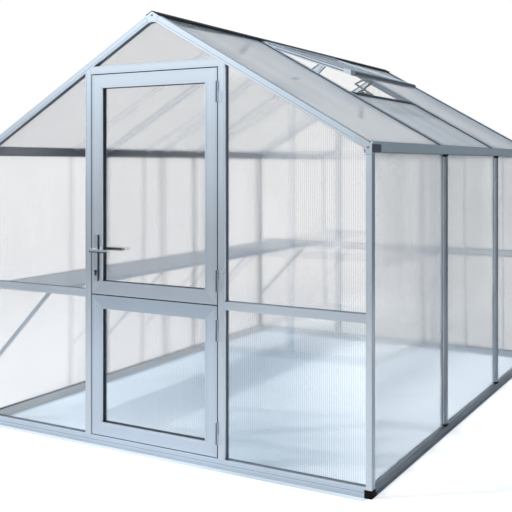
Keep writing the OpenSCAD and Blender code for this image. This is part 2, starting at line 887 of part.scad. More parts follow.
gable_sills();
side_sills();
base_corner_blocks();
corner_posts();
wall_studs();
stud_caps();
eave_rails();
gutters();
gutter_end_caps();
gable_rafters();
apex_gussets();
eave_gussets();
door_posts();
door_header();
front_mid_rails();
rear_mullions();
rear_cross_rails();
ridge_beam();
ridge_cap();
roof_bars();
vent_frame();
vent_pane();
vent_sill_rail();
vent_opener();
vent_stay();
front_panes();
rear_panes();
left_wall_panes();
right_wall_panes();
left_roof_panes();
right_roof_panes();
shelf_panel();
shelf_rails();
shelf_struts();
hinge_pins();
upper_leaf_stiles();
upper_leaf_rails();
upper_leaf_pane();
upper_hinge_knuckles();
lock_plates();
lower_leaf_stiles();
lower_leaf_rails();
lower_leaf_pane();
lower_hinge_knuckles();
lever_handle();
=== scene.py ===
import math

import bmesh
import bpy
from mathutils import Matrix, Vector


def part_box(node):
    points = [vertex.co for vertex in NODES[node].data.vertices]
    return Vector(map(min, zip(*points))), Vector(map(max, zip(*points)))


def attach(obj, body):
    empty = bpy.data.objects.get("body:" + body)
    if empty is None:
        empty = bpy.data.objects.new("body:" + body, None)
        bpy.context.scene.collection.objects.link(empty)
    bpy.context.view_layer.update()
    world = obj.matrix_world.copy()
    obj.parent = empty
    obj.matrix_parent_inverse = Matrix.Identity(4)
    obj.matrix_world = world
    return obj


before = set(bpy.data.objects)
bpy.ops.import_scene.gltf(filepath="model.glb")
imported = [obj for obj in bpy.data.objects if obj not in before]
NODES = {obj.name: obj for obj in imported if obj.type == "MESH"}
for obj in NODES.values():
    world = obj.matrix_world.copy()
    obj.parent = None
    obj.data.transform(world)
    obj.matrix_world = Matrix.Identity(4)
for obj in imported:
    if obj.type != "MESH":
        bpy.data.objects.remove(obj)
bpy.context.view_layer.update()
SCENE = bpy.context.scene

# ---------------------------------------------------------------- sizes and directions, from the frame
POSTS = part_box("corner_posts")
FRONT_Y, REAR_Y = POSTS[0].y, POSTS[1].y
HALF_W, POST_Z = POSTS[1].x, POSTS[1].z
SILL_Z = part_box("gable_sills")[1].z
RAFTER_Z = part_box("gable_rafters")[1].z
GUSSET_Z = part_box("apex_gussets")[1].z
EAVE_GUSSET_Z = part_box("eave_gussets")[0].z
DOOR_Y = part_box("door_posts")[1].y  # the inner face of the door's frame
HEADER_LOW, HEADER_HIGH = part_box("door_header")
HINGE_X = (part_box("upper_leaf_stiles")[1].x + HEADER_HIGH.x) / 2
LEVER_LOW, LEVER_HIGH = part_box("lever_handle")
VENT_LOW, VENT_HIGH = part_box("vent_frame")
BAY = (REAR_Y - FRONT_Y) / 3
PITCH = math.radians(29.79)  # of the roof
VENT_FALL = 0.356  # how far the open vent falls for each metre across
FRONT, REAR, RIGHT, LEFT, UP = (0, -1, 0), (0, 1, 0), (1, 0, 0), (-1, 0, 0), (0, 0, 1)
RIGHT_SLOPE = (math.sin(PITCH), 0, math.cos(PITCH))
LEFT_SLOPE = (-math.sin(PITCH), 0, math.cos(PITCH))


# ---------------------------------------------------------------- node helpers
class Tree:
    """A material's or world's node tree, with short calls to build it."""

    def __init__(self, tree, keep=False):
        self.tree = tree
        if not keep:
            tree.nodes.clear()

    def shader(self):
        """The main shader of a finished tree, and where its colour comes from."""
        body = next(n for n in self.tree.nodes if n.type == "BSDF_PRINCIPLED")
        return body, body.inputs["Base Color"].links[0].from_socket

    def new(self, kind, **values):
        node = self.tree.nodes.new(kind)
        for key, value in values.items():
            setattr(node, key, value)
        return node

    def link(self, source, target):
        self.tree.links.new(source, target)

    def put(self, value, socket):
        """Links a socket, or sets a constant."""
        if isinstance(value, bpy.types.NodeSocket):
            self.link(value, socket)
        else:
            socket.default_value = value

    def place(self):
        """Where a point of the piece lies at rest, in the row frame."""
        return self.new("ShaderNodeTexCoord").outputs["Object"]

    def axes(self, vector):
        node = self.new("ShaderNodeSeparateXYZ")
        self.link(vector, node.inputs[0])
        return node.outputs

    def math(self, operation, a, b=0.0, clamp=False):
        node = self.new("ShaderNodeMath", operation=operation, use_clamp=clamp)
        self.put(a, node.inputs[0])
        self.put(b, node.inputs[1])
        return node.outputs[0]

    def ramp(self, factor, low, high, out_low=0.0, out_high=1.0):
        """Goes smoothly from out_low to out_high as factor goes from low to high, either way round."""
        node = self.new("ShaderNodeMapRange", interpolation_type="SMOOTHSTEP")
        for value, socket in zip((factor, low, high, out_low, out_high), node.inputs):
            self.put(value, socket)
        return node.outputs[0]

    def pick(self, factor, a, b):
        """Mixes two numbers."""
        node = self.new("ShaderNodeMix", data_type="FLOAT")
        for value, socket in ((factor, 0), (a, 2), (b, 3)):
            self.put(value, node.inputs[socket])
        return node.outputs[0]

    def mix(self, factor, a, b):
        """Mixes two colours."""
        node = self.new("ShaderNodeMix", data_type="RGBA")
        self.put(factor, node.inputs[0])
        for value, socket in ((a, node.inputs[6]), (b, node.inputs[7])):
            self.put(value if isinstance(value, bpy.types.NodeSocket) else (*value, 1), socket)
        return node.outputs[2]

    def blend(self, factor, a, b):
        """Mixes two shaders."""
        node = self.new("ShaderNodeMixShader")
        self.put(factor, node.inputs[0])
        self.link(a, node.inputs[1])
        self.link(b, node.inputs[2])
        return node.outputs[0]

    def noise(self, vector, scale, detail=2.0, rough=0.5):
        node = self.new("ShaderNodeTexNoise")
        self.put(vector, node.inputs["Vector"])
        node.inputs["Scale"].default_value = scale
        node.inputs["Detail"].default_value = detail
        node.inputs["Roughness"].default_value = rough
        return node.outputs[0]

    def stretch(self, vector, scale):
        node = self.new("ShaderNodeMapping")
        self.link(vector, node.inputs[0])
        node.inputs["Scale"].default_value = scale
        return node.outputs[0]

    def bump(self, height, strength, distance):
        node = self.new("ShaderNodeBump")
        self.link(height, node.inputs["Height"])
        node.inputs["Strength"].default_value = strength
        node.inputs["Distance"].default_value = distance
        return node.outputs[0]


def material(name):
    mat = bpy.data.materials.new(name)
    mat.use_nodes = True
    tree = Tree(mat.node_tree)
    out = tree.new("ShaderNodeOutputMaterial")
    return mat, tree, out, tree.place()


def principled(tree, **values):
    node = tree.new("ShaderNodeBsdfPrincipled")
    for key, value in values.items():
        tree.put(value, node.inputs[key.replace("_", " ")])
    return node


def times(color, factor):
    return tuple(c * factor for c in color)


# ---------------------------------------------------------------- metals
METAL_TONE = 0.06  # how far stains and lines darken the metals
FINISH_EDGE = 0.0004  # how softly one finish on a piece gives way to the next, each way


def metal(name, color, rough=0.3):
    """Satin metal: fine level lines in its finish, faint stains and handling marks."""
    mat, tree, out, place = material(name)
    cloud = tree.noise(place, 2.3, 3)
    lines = tree.noise(tree.stretch(place, (1, 1, 60)), 9.0, 2)
    shade = tree.math(
        "ADD", tree.math("MULTIPLY", cloud, METAL_TONE), tree.math("MULTIPLY", lines, METAL_TONE * 0.5),
    )
    clean = tree.math("MULTIPLY", shade, 1 / (1.5 * METAL_TONE), clamp=True)
    shader = principled(
        tree, Base_Color=tree.mix(clean, times(color, 1 - 1.6 * METAL_TONE), color), Metallic=1.0,
        Roughness=tree.math("ADD", tree.math("MULTIPLY", cloud, 0.12), rough - 0.06),
        Normal=tree.bump(lines, 0.06, 0.0006),
    )
    tree.link(shader.outputs[0], out.inputs[0])
    return mat


def looks(tree, facing):
    """1 on the faces that look one way, 0 on the rest."""
    turn = tree.new("ShaderNodeVectorMath", operation="DOT_PRODUCT")
    tree.link(tree.new("ShaderNodeTexCoord").outputs["Normal"], turn.inputs[0])
    turn.inputs[1].default_value = facing
    return tree.ramp(turn.outputs["Value"], 0.5, 0.6)


def darker_zone_metal(name, axis, near, width, color, zone, rough=0.3, both=False, matt=False, front_shade=None):
    """Satin metal with a darker zone within a width of a place along an axis.

    both adds the same zone on the other side of 0. matt makes what lies past the zone white powder coat.
    The last argument is a painted shade for the outer half of the zone, on the faces that look to the
    front.
    """
    mat = metal(name, color, rough)
    tree = Tree(mat.node_tree, keep=True)
    body, old = tree.shader()
    spot = tree.axes(tree.place())["XYZ".index(axis)]
    if both:
        spot = tree.math("ABSOLUTE", spot)
    off = tree.math("ABSOLUTE", tree.math("SUBTRACT", spot, near))
    edge = (width - FINISH_EDGE, width + FINISH_EDGE)
    # painted shade on the front-looking faces of the zone's outer half
    if front_shade:
        outer = tree.ramp(off, width * 0.45, width * 0.55)
        zone = tree.mix(looks(tree, FRONT), zone, tree.mix(outer, front_shade, zone))
    tree.put(tree.mix(tree.ramp(off, *edge), zone, old), body.inputs["Base Color"])
    if matt:
        tree.put(tree.ramp(off, *edge, 1.0, 0.0), body.inputs["Metallic"])
    return mat


def shaded_side_metal(name, facing, color, dark, right_only=False):
    """Satin metal with painted shade: darker on the faces that look one way, or only on those right of the
    middle.
    """
    mat = metal(name, color)
    tree = Tree(mat.node_tree, keep=True)
    body, old = tree.shader()
    turned = looks(tree, facing)
    if right_only:
        turned = tree.math("MULTIPLY", turned, tree.math("GREATER_THAN", tree.axes(tree.place())[0], 0.0))
    tree.put(tree.mix(turned, old, dark), body.inputs["Base Color"])
    return mat


def shade_below(mat, height, dark):
    """Paints shade on a metal below a height, as a darker colour."""
    tree = Tree(mat.node_tree, keep=True)
    body, old = tree.shader()
    above = tree.ramp(tree.axes(tree.place())[2], height - 0.001, height + 0.001)
    tree.put(tree.mix(above, dark, old), body.inputs["Base Color"])


# ---------------------------------------------------------------- powder coat and plastics
def coat(name, color, rough=0.5):
    """Powder coat on metal: a matt skin with fine grain, rubbed a little paler in places."""
    mat, tree, out, place = material(name)
    grain = tree.noise(place, 650.0, 2)
    cloud = tree.noise(tree.stretch(place, (1, 0.25, 1)), 4.0, 4, 0.65)
    shader = principled(
        tree, Base_Color=tree.mix(tree.ramp(cloud, 0.35, 0.7), times(color, 0.8), times(color, 1.35)),
        Roughness=tree.math("ADD", tree.math("MULTIPLY", cloud, 0.15), rough - 0.07),
        Normal=tree.bump(grain, 0.12, 0.0003),
    )
    shader.inputs["Specular IOR Level"].default_value = 0.03
    tree.link(shader.outputs[0], out.inputs[0])
    return mat


def plastic(name, color, rough=0.6, gloss=0.5):
    """Moulded plastic or rubber: fine orange-peel skin and a little dust in patches."""
    mat, tree, out, place = material(name)
    skin = tree.noise(place, 420.0, 2)
    cloud = tree.noise(place, 9.0, 3)
    dusty = tuple(c * 1.3 + 0.004 for c in color)
    shader = principled(
        tree, Base_Color=tree.mix(cloud, times(color, 0.8), dusty),
        Roughness=tree.math("ADD", tree.math("MULTIPLY", cloud, 0.15), rough - 0.07),
        Normal=tree.bump(skin, 0.15, 0.0004),
    )
    shader.inputs["Specular IOR Level"].default_value = gloss
    tree.link(shader.outputs[0], out.inputs[0])
    return mat


# ---------------------------------------------------------------- clear sheets
RIB = 0.0107  # spacing of the webs inside the sheets
THROUGH = (0.998, 0.998, 1.0, 1)  # colour of what is seen through a sheet's walls
SHADE = (0.70, 0.72, 0.725, 1)  # colour of the light that a sheet lets through
BLUR = 0.12  # roughness of the share that is seen blurred
# creases in the front sheet of the roof, drawn in painted shade, as y and distance down the slope at one
# end and at the other
CREASES = ((-1.28, 0.411, -0.62, 0.06), (-1.10, 1.10, -0.58, 0.86), (-1.12, 0.67, -0.90, 0.60))
CREASE_W = 0.026
PALE_OFF, PALE_W = 0.035, 0.045  # of the painted highlight beside each crease


def paint_roof_light_and_shade(tree, spots, base):
    """Paints the bowed front sheet's creases in shade and highlight, a paler foot, and the cap's shadow as
    a dark wedge.
    """
    down = tree.math("MULTIPLY", tree.math("SUBTRACT", GUSSET_Z, spots[2]), 1 / math.sin(PITCH))
    first_bay = tree.math("LESS_THAN", spots[1], FRONT_Y + BAY)
    # painted light: the first bay is paler towards its foot
    foot = tree.math("MULTIPLY", tree.ramp(down, 0.70, 1.25), first_bay)
    base = tree.mix(tree.math("MULTIPLY", foot, 0.85), base, (0.99, 0.99, 0.99))
    # each crease: a dark line of painted shade, with a pale line of painted highlight beside it
    for y0, d0, y1, d1 in CREASES:
        size = math.hypot(y1 - y0, d1 - d0)
        u, v = (y1 - y0) / size, (d1 - d0) / size
        y = tree.math("SUBTRACT", spots[1], y0)
        d = tree.math("SUBTRACT", down, d0)
        along = tree.math("ADD", tree.math("MULTIPLY", y, u), tree.math("MULTIPLY", d, v))
        off = tree.math("SUBTRACT", tree.math("MULTIPLY", d, u), tree.math("MULTIPLY", y, v))
        part = tree.math("MULTIPLY", tree.ramp(along, -0.03, 0.03), tree.ramp(along, size, size * 0.2))
        line = tree.math("MULTIPLY", tree.ramp(tree.math("ABSOLUTE", off), CREASE_W, 0.0), part)
        pale = tree.ramp(tree.math("ABSOLUTE", tree.math("SUBTRACT", off, PALE_OFF)), PALE_W, 0.0)
        pale = tree.math("MULTIPLY", pale, part)
        base = tree.mix(tree.math("MULTIPLY", pale, 0.75), base, (0.97, 0.97, 0.98))
        base = tree.mix(tree.math("MULTIPLY", line, 0.42), base, (0.24, 0.27, 0.30))
    # painted shadow of the ridge cap: a dark wedge beside it in the first bay, narrowing towards the rear
    reach = tree.ramp(spots[1], -1.45, -0.5, 0.135, 0.05)
    wedge = tree.ramp(tree.math("SUBTRACT", down, reach), 0.02, -0.02)
    wedge = tree.math("MULTIPLY", wedge, first_bay)
    return tree.mix(tree.math("MULTIPLY", wedge, 0.8), base, (0.09, 0.11, 0.125))


def bay_bands(tree, place, spots, valley):
    """Painted reflection and shade on a bowed sheet, as how pale it is: along a band in each end bay or,
    with valley, away from the first stud.
    """
    bay = tree.math("DIVIDE", tree.math("SUBTRACT", spots[1], FRONT_Y), BAY)
    if valley:
        band = tree.math("ABSOLUTE", tree.math("SUBTRACT", bay, 1.0), clamp=True)
    else:
        part = tree.math("FRACT", bay)
        band = tree.math("SUBTRACT", tree.ramp(part, 0.02, 0.30), tree.ramp(part, 0.34, 0.98), clamp=True)
        end_bays = tree.math("GREATER_THAN", tree.math("ABSOLUTE", tree.math("SUBTRACT", bay, 1.5)), 0.5)
        band = tree.math("MULTIPLY", band, end_bays)
    faint = tree.ramp(tree.noise(tree.stretch(place, (0.4, 2.2, 0.4)), 1.7, 2), 0.3, 0.7)
    return tree.math("ADD", tree.math("MULTIPLY", band, 0.6), tree.math("MULTIPLY", faint, 0.4))


def sheet(
    name, across, haze, side_haze, tint,
    dim=None, streaks=0.0, valley=False, painted_roof_light=False, foot=None, ridge=False, glow_share=0.5,
):
    """Clear twin-wall sheet: see-through walls, webs at even steps along one axis, milky at a slant.

    haze is how milky it is face on, and side_haze at a slant. With streaks, bands of painted reflection
    and shade take it from dim to a paler tint; the roof's flag adds creases drawn in painted shade and
    highlight, a painted highlight at the lower end of its first bay and the ridge cap's painted shadow.
    foot is its tone near the ground, where it is clearer. ridge makes it clearer near the ridge, past the
    first bay.
    """
    mat, tree, out, place = material(name)
    spots = tree.axes(place)
    wave = tree.math("COSINE", tree.math("MULTIPLY", spots["XYZ".index(across)], 2 * math.pi / RIB))
    web = tree.ramp(wave, 0.35, 0.98)
    weight = tree.new("ShaderNodeLayerWeight")
    weight.inputs["Blend"].default_value = 0.35
    slant = tree.ramp(weight.outputs["Facing"], 0.15, 0.85)
    cloud = tree.noise(tree.stretch(place, (0.7, 0.7, 0.7)), 2.0, 2)
    patch = tree.ramp(tree.noise(place, 1.3, 1), 0.35, 0.65, 0.04, 0.22)
    solid = tree.math("ADD", tree.math("MULTIPLY", slant, side_haze - haze), haze)
    solid = tree.math("ADD", solid, tree.math("MULTIPLY", web, patch))
    uneven = tree.math("MULTIPLY", tree.math("SUBTRACT", cloud, 0.5), 0.10)
    solid = tree.math("ADD", solid, uneven, clamp=True)
    blurred = 0.6
    if foot:
        solid = tree.math("MULTIPLY", solid, tree.ramp(spots[2], 0.2, 0.95, 0.12, 1.0))
    if ridge:
        high_up = tree.ramp(spots[2], 1.96, 2.12, 0.0, 0.9)
        rest = tree.math("SUBTRACT", 1.0, tree.math("MULTIPLY", high_up, tree.ramp(spots[1], -0.7, -0.3)))
        solid = tree.math("MULTIPLY", solid, rest)
        blurred = tree.math("MULTIPLY", rest, blurred)
    if streaks:
        pale = tuple(min(1, c * (1 + 0.5 * streaks)) for c in tint)
        base = tree.mix(bay_bands(tree, place, spots, valley), dim, pale)
    else:
        base = tree.mix(cloud, times(tint, 0.93), tint)
    if foot:
        base = tree.mix(tree.ramp(spots[2], 0.95, 0.25), base, foot)
    if painted_roof_light:
        base = paint_roof_light_and_shade(tree, spots, base)
    body = principled(
        tree, Base_Color=base, Roughness=0.22, Transmission_Weight=0.0,
        Normal=tree.bump(wave, 0.08, 0.0008),
    )
    glow = tree.new("ShaderNodeBsdfTranslucent")
    tree.put(base, glow.inputs[0])
    milky = tree.blend(glow_share, body.outputs[0], glow.outputs[0])
    clear = tree.new("ShaderNodeBsdfTransparent")
    clear.inputs[0].default_value = THROUGH
    soft = tree.new("ShaderNodeBsdfRefraction")
    soft.inputs["Color"].default_value = THROUGH
    soft.inputs["Roughness"].default_value = BLUR
    soft.inputs["IOR"].default_value = 1.3
    through = tree.blend(blurred, clear.outputs[0], soft.outputs[0])
    shadow = tree.new("ShaderNodeBsdfTransparent")
    shadow.inputs[0].default_value = SHADE
    seen = tree.blend(solid, through, milky)
    light = tree.new("ShaderNodeLightPath")
    tree.link(tree.blend(light.outputs["Is Shadow Ray"], seen, shadow.outputs[0]), out.inputs[0])
    return mat


GABLE_SHEET = sheet("gable_sheet", "X", 0.02, 0.26, (0.95, 0.95, 0.955))
REAR_SHEET = sheet("rear_sheet", "X", 0.12, 0.36, (0.60, 0.60, 0.605))
WALL_SHEET = sheet(
    "wall_sheet", "Y", 0.06, 0.30, (0.88, 0.90, 0.93), dim=(0.42, 0.46, 0.50), streaks=0.14, valley=True,
    foot=(0.97, 0.99, 1.0),
)
LEFT_ROOF_SHEET = sheet(
    "left_roof_sheet", "Y", 0.24, 0.48, (0.50, 0.51, 0.52), ridge=True, glow_share=0.85,
)
ROOF_SHEET = sheet(
    "roof_sheet", "Y", 0.30, 0.62, (0.99, 0.99, 0.98), dim=(0.73, 0.775, 0.83), streaks=0.25, painted_roof_light=True,
)
VENT_SHEET = sheet("vent_sheet", "Y", 0.34, 0.80, (0.62, 0.66, 0.71))

# ---------------------------------------------------------------- finishes of the nodes
BRIGHT = (0.78, 0.855, 0.94)
LEAF = (0.73, 0.83, 0.95)
FITTINGS = (0.66, 0.71, 0.77)
UPPER_FOOT_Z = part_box("upper_leaf_rails")[0].z
LOWER_TOP_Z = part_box("lower_leaf_rails")[1].z
LEAF_RAIL_H = 0.071  # a little more than the rails where the two leaves meet
LEVER_Z = (LEVER_LOW.z + LEVER_HIGH.z) / 2
LEVER_INSIDE = 0.0845  # how much of the levers, from their inner end, is coloured dark
UNDER_STAY = (0.605, 0, -0.796)  # the way that the stay's lower face looks; that face is painted in shade

ALUMINIUM = metal("aluminium", BRIGHT)
SHELF = metal("shelf_aluminium", (0.42, 0.48, 0.56), rough=0.36)
# painted shade: the eave rails are near black and the rear cross rails darker, for the shade inside the
# house
INNER = metal("inner_rail_aluminium", (0.07, 0.085, 0.11), rough=0.42)
REAR_RAIL = metal("rear_rail_aluminium", (0.66, 0.72, 0.80), rough=0.40)
GABLE_SILL = metal("gable_sill_aluminium", (0.70, 0.79, 0.89))
LOW_STILE = metal("lower_leaf_aluminium", LEAF)
GUSSET = metal("eave_gusset_aluminium", (0.74, 0.80, 0.87))
GUTTER = metal("gutter_aluminium", (0.86, 0.96, 1.0), rough=0.34)
OPENER = metal("opener_metal", (0.33, 0.33, 0.33), rough=0.36)
STEEL_KEY = metal("key_cylinder_metal", (0.10, 0.11, 0.12))
SCREW = metal("screw_steel", (0.30, 0.33, 0.37), rough=0.35)
# painted shade: the studs are darker on their outer part, and darker still on its front-looking faces
STUD = darker_zone_metal(
    "stud_aluminium", "X", HALF_W, 0.019, (0.80, 0.82, 0.84), (0.50, 0.54, 0.60), rough=0.32,
    both=True, matt=True, front_shade=(0.27, 0.30, 0.34),
)
# painted shade: the side sills are darker on their outer part
SIDE_SILL = darker_zone_metal(
    "side_sill_aluminium", "X", HALF_W, 0.016, (0.79, 0.81, 0.83), (0.27, 0.31, 0.36), rough=0.36,
    both=True, matt=True,
)
# painted shade: the corner posts are darker on their side faces
POST = darker_zone_metal("post_aluminium", "X", HALF_W, 0.001, (0.84, 0.92, 1.0), (0.58, 0.65, 0.75), both=True)
LOW_RAIL = darker_zone_metal("lower_rail_aluminium", "Z", LOWER_TOP_Z, LEAF_RAIL_H, LEAF, (0.61, 0.70, 0.81))
LEAF_RAIL = darker_zone_metal("upper_rail_aluminium", "Z", UPPER_FOOT_Z, LEAF_RAIL_H, BRIGHT, (0.67, 0.74, 0.83))
VENT = darker_zone_metal("vent_aluminium", "X", VENT_HIGH.x, 0.029, (0.76, 0.82, 0.90), (0.22, 0.25, 0.28))
HINGE = darker_zone_metal("hinge_metal", "X", HINGE_X, 0.004, (0.74, 0.80, 0.88), (0.16, 0.19, 0.23))
FURNITURE = darker_zone_metal(
    "lever_metal", "Y", LEVER_HIGH.y, LEVER_INSIDE, (0.86, 0.89, 0.92), (0.035, 0.038, 0.042), rough=0.2,
)
shade_below(FURNITURE, LEVER_Z - 0.0038, (0.045, 0.05, 0.055))  # painted shade on the undersides of the levers
# painted shade on one side of each: the lock plates' right faces, the stay's lower faces and the roof bars'
# front faces right of the middle
PLATE = shaded_side_metal("lock_plate_metal", RIGHT, FITTINGS, (0.05, 0.065, 0.085))
STAY = shaded_side_metal("stay_aluminium", UNDER_STAY, FITTINGS, (0.05, 0.06, 0.07))
ROOF_BAR = shaded_side_metal("roof_bar_aluminium", FRONT, BRIGHT, (0.30, 0.34, 0.39), right_only=True)
TRIM = coat("dark_trim", (0.033, 0.039, 0.046))
BLACK = plastic("black_plastic", (0.007, 0.007, 0.008), rough=0.45, gloss=0.08)
END_CAP = plastic("end_cap_plastic", (0.085, 0.10, 0.125), rough=0.45, gloss=0.1)
SEAL = plastic("glazing_seal", (0.014, 0.022, 0.034))
# grey seal colour, also used for the joint lines and for dark lines that paint the shade in grooves
GREY_SEAL_AND_SHADE = plastic("grey_seal_and_painted_shade", (0.15, 0.18, 0.22))
ROOF_SEAL = plastic("roof_glazing_seal", (0.055, 0.073, 0.095))
PALE_SEAL = plastic("pale_glazing_seal", (0.50, 0.54, 0.60))
WALL_SEAL = plastic("wall_glazing_seal", (0.30, 0.33, 0.37))

# which nodes have which finish; the others are plain aluminium
FINISHES = (
    (GABLE_SHEET, "front_panes", "upper_leaf_pane", "lower_leaf_pane"),
    (REAR_SHEET, "rear_panes"),
    (WALL_SHEET, "left_wall_panes", "right_wall_panes"),
    (LEFT_ROOF_SHEET, "left_roof_panes"),
    (ROOF_SHEET, "right_roof_panes"),
    (VENT_SHEET, "vent_pane"),
    (TRIM, "ridge_cap", "vent_sill_rail"),
    (OPENER, "vent_opener"),
    (VENT, "vent_frame"),
    (STAY, "vent_stay"),
    (ROOF_BAR, "roof_bars"),
    (INNER, "eave_rails"),
    (REAR_RAIL, "rear_cross_rails"),
    (STUD, "wall_studs"),
    (SIDE_SILL, "side_sills"),
    (GABLE_SILL, "gable_sills"),
    (POST, "corner_posts"),
    (GUSSET, "eave_gussets"),
    (GUTTER, "gutters"),
    (END_CAP, "gutter_end_caps"),
    (LEAF_RAIL, "upper_leaf_rails"),
    (LOW_RAIL, "lower_leaf_rails"),
    (LOW_STILE, "lower_leaf_stiles"),
    (HINGE, "hinge_pins", "upper_hinge_knuckles", "lower_hinge_knuckles"),
    (PLATE, "lock_plates"),
    (FURNITURE, "lever_handle"),
    (SHELF, "shelf_panel", "shelf_rails", "shelf_struts"),
    (BLACK, "base_corner_blocks", "stud_caps"),
)
finish_of = {node: mat for mat, *nodes in FINISHES for node in nodes}
for node, obj in NODES.items():
    obj.data.materials.clear()
    obj.data.materials.append(finish_of.get(node, ALUMINIUM))


# ---------------------------------------------------------------- shape helpers
def piece(name, shape, mat, body):
    """Makes a piece of a shape, which rides on a body and takes its finish from a slot."""
    bmesh.ops.recalc_face_normals(shape, faces=shape.faces)
    mesh = bpy.data.meshes.new(name)
    shape.to_mesh(mesh)
    shape.free()
    mesh.materials.append(mat)
    obj = bpy.data.objects.new(name, mesh)
    SCENE.collection.objects.link(obj)
    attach(obj, body)
    return obj


def bends(before, here, after):
    return (here - before).normalized().dot((after - here).normalized()) < 0.9999


def outlines(node, facing):
    """The edge of each flat face of a node that looks along facing, as loops that turn left about it."""
    shape = bmesh.new()
    shape.from_mesh(NODES[node].data)
    bmesh.ops.remove_doubles(shape, verts=shape.verts, dist=1e-5)
    shape.normal_update()
    chosen = {face for face in shape.faces if face.normal.dot(Vector(facing)) > 0.999}
    after = {}
    for face in chosen:
        for loop in face.loops:
            if sum(other in chosen for other in loop.edge.link_faces) == 1:
                after[loop.vert] = loop.link_loop_next.vert
    loops = []
    while after:
        first, vert = after.popitem()
        ring = [first.co.copy()]
        while vert is not first:
            ring.append(vert.co.copy())
            vert = after.pop(vert)
        loops.append([p for i, p in enumerate(ring) if bends(ring[i - 1], p, ring[(i + 1) % len(ring)])])
    shape.free()
    return loops


def oblong(x0, z0, x1, z1, y):
    """A rectangle across Y whose corners turn left as seen from the front."""
    return [Vector((x0, y, z0)), Vector((x1, y, z0)), Vector((x1, y, z1)), Vector((x0, y, z1))]


def liner(shape, loop, facing, section):
    """Runs a section, as (inset, height) pairs, round a loop that turns left about facing."""
    up = Vector(facing)
    rows = []
    for i, corner in enumerate(loop):
        first = up.cross((corner - loop[i - 1]).normalized())
        second = up.cross((loop[(i + 1) % len(loop)] - corner).normalized())
        inward = (first + second) / (1 + first.dot(second))
        rows.append([shape.verts.new(corner + inward * a + up * b) for a, b in section])
    for i, row in enumerate(rows):
        following = rows[(i + 1) % len(rows)]
        for j in range(len(section)):
            k = (j + 1) % len(section)
            shape.faces.new((row[j], following[j], following[k], row[k]))


def strip(shape, start, end, across, up, section):
    """Runs a section, as (across, up) pairs, from one place to another, with closed ends."""
    across, up = Vector(across), Vector(up)
    rows = [[shape.verts.new(Vector(p) + across * a + up * b) for a, b in section] for p in (start, end)]
    for j in range(len(section)):
        k = (j + 1) % len(section)
        shape.faces.new((rows[0][j], rows[1][j], rows[1][k], rows[0][k]))
    for row in rows:
        shape.faces.new(row)


def flat(thick, depth):
    """The section of a flat strip, for liner."""
    return ((0, 0), (thick, 0), (thick, depth), (0, depth))


def line(half):
    """The section of a thin dark line that stands 0.3 mm off a face, for strip."""
    return ((-half, 0), (half, 0), (half - 0.0002, 0.0003), (0.0002 - half, 0.0003))


def lathe(shape, centre, axis, profile, segments=24):
    """Turns a profile of (radius, height) pairs about an axis through a place."""
    axis = Vector(axis)
    side = axis.orthogonal().normalized()
    other = axis.cross(side)
    rows = []
    for radius, height in profile:
        ring = []
        for i in range(segments):
            angle = 2 * math.pi * i / segments
            way = side * math.cos(angle) + other * math.sin(angle)
            ring.append(shape.verts.new(Vector(centre) + way * radius + axis * height))
        rows.append(ring)
    for first, second in zip(rows, rows[1:]):
        for i in range(segments):
            k = (i + 1) % segments
            shape.faces.new((first[i], first[k], second[k], second[i]))
    for ring in (rows[0], rows[-1]):
        shape.faces.new(ring)


def seals(name, node, facing, section, body="frame", mat=SEAL):
    """Glazing seals round the edges of a node's sheets, on the side that looks along facing; where a
    section runs up the side of the opening, it is painted shade.
    """
    shape = bmesh.new()
    for loop in outlines(node, facing):
        liner(shape, loop, facing, section)
    return piece(name, shape, mat, body)


# ---------------------------------------------------------------- glazing seals
# Sections as (inset, height) pairs. Most have a lip on the sheet, the seals' own colour, and a liner up the
# side of the opening, a dark sheet that paints the shade in its recess.
LEAF_LINER = ((0, 0), (0.0034, 0), (0.0030, 0.0016), (0.0015, 0.0030), (0.0013, 0.0132), (0, 0.0135))
GABLE_LINER = (*LEAF_LINER[:4], (0.0013, 0.0100), (0, 0.0103))
WIDE_LIP = ((0, 0), (0.0058, 0), (0.0052, 0.0020), (0.0013, 0.0026), (0.0012, 0.0065), (0, 0.0068))
INNER_LIP = ((0, 0), (0.0030, 0), (0.0026, 0.0014), *WIDE_LIP[3:])
BEAD = ((0, 0), (0.0034, 0), (0.0030, 0.0018), (0.0016, 0.0026), (0, 0.0028))
ROOF_BEAD = ((0, 0), (0.0036, 0), (0.0034, 0.0040), (0.0020, 0.0068), (0, 0.0072))
LEAVES = ("upper_leaf", "lower_leaf")

seals("front_glazing_seals", "front_panes", FRONT, GABLE_LINER, mat=GREY_SEAL_AND_SHADE)
seals("front_inner_seals", "front_panes", REAR, INNER_LIP)
seals("rear_glazing_seals", "rear_panes", REAR, GABLE_LINER, mat=GREY_SEAL_AND_SHADE)
seals("rear_inner_seals", "rear_panes", FRONT, WIDE_LIP)
for leaf in LEAVES:
    seals(leaf + "_glazing_seal", leaf + "_pane", FRONT, LEAF_LINER, leaf)
    seals(leaf + "_inner_seal", leaf + "_pane", REAR, INNER_LIP, leaf)
seals("right_wall_beads", "right_wall_panes", RIGHT, BEAD, mat=WALL_SEAL)
seals("left_wall_beads", "left_wall_panes", LEFT, BEAD, mat=WALL_SEAL)
seals("right_wall_inner_seals", "right_wall_panes", LEFT, INNER_LIP, mat=PALE_SEAL)
seals("left_wall_inner_seals", "left_wall_panes", RIGHT, WIDE_LIP)
seals("right_roof_beads", "right_roof_panes", RIGHT_SLOPE, ROOF_BEAD, mat=ROOF_SEAL)
seals("left_roof_beads", "left_roof_panes", LEFT_SLOPE, ROOF_BEAD, mat=ROOF_SEAL)


